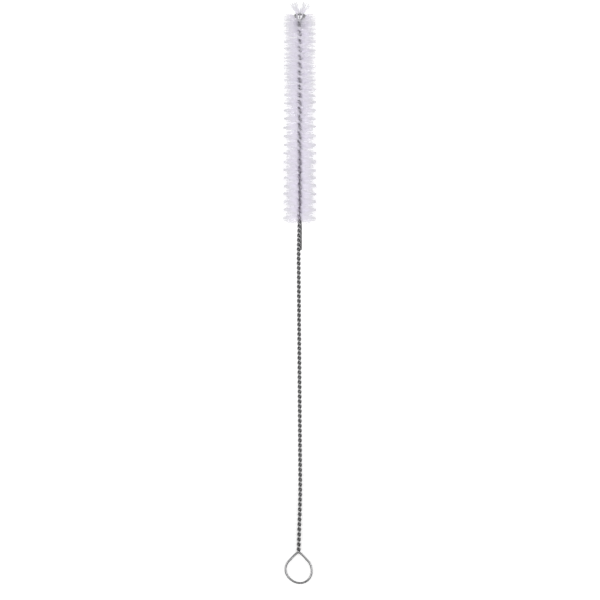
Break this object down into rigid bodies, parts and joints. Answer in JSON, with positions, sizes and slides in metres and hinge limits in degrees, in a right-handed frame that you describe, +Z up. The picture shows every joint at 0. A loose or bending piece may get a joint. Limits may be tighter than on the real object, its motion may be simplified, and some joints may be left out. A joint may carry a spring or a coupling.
{
  "type": "bottle brush",
  "caption": "Small test-tube brush twisted from one steel wire, with a spiral of nylon bristles, a tufted tip and a hanging loop at the other end.",
  "frame": {"origin": "on the ground, at the middle of the bounding box, with the brush lying at rest on its loop's end and its head's lowest bristles", "axes": "+Y towards the tufted tip, +Z up, +X to the right when looking along +Y; the loop lies almost flat"},
  "size_m": [0.0116, 0.1998, 0.0145],
  "materials": {
    "steel_wire": "bright drawn steel wire, lightly scratched by the twisting",
    "nylon": "translucent lavender-white nylon filament"
  },
  "bodies": {
    "root": {"wire": "steel_wire", "bristle_turn_01": "nylon", "bristle_turn_02": "nylon", "bristle_turn_03": "nylon", "bristle_turn_04": "nylon", "bristle_turn_05": "nylon", "bristle_turn_06": "nylon", "bristle_turn_07": "nylon", "bristle_turn_08": "nylon", "bristle_turn_09": "nylon", "bristle_turn_10": "nylon", "bristle_turn_11": "nylon", "bristle_turn_12": "nylon", "bristle_turn_13": "nylon", "tip_tuft": "nylon"}
  },
  "joints": []
}
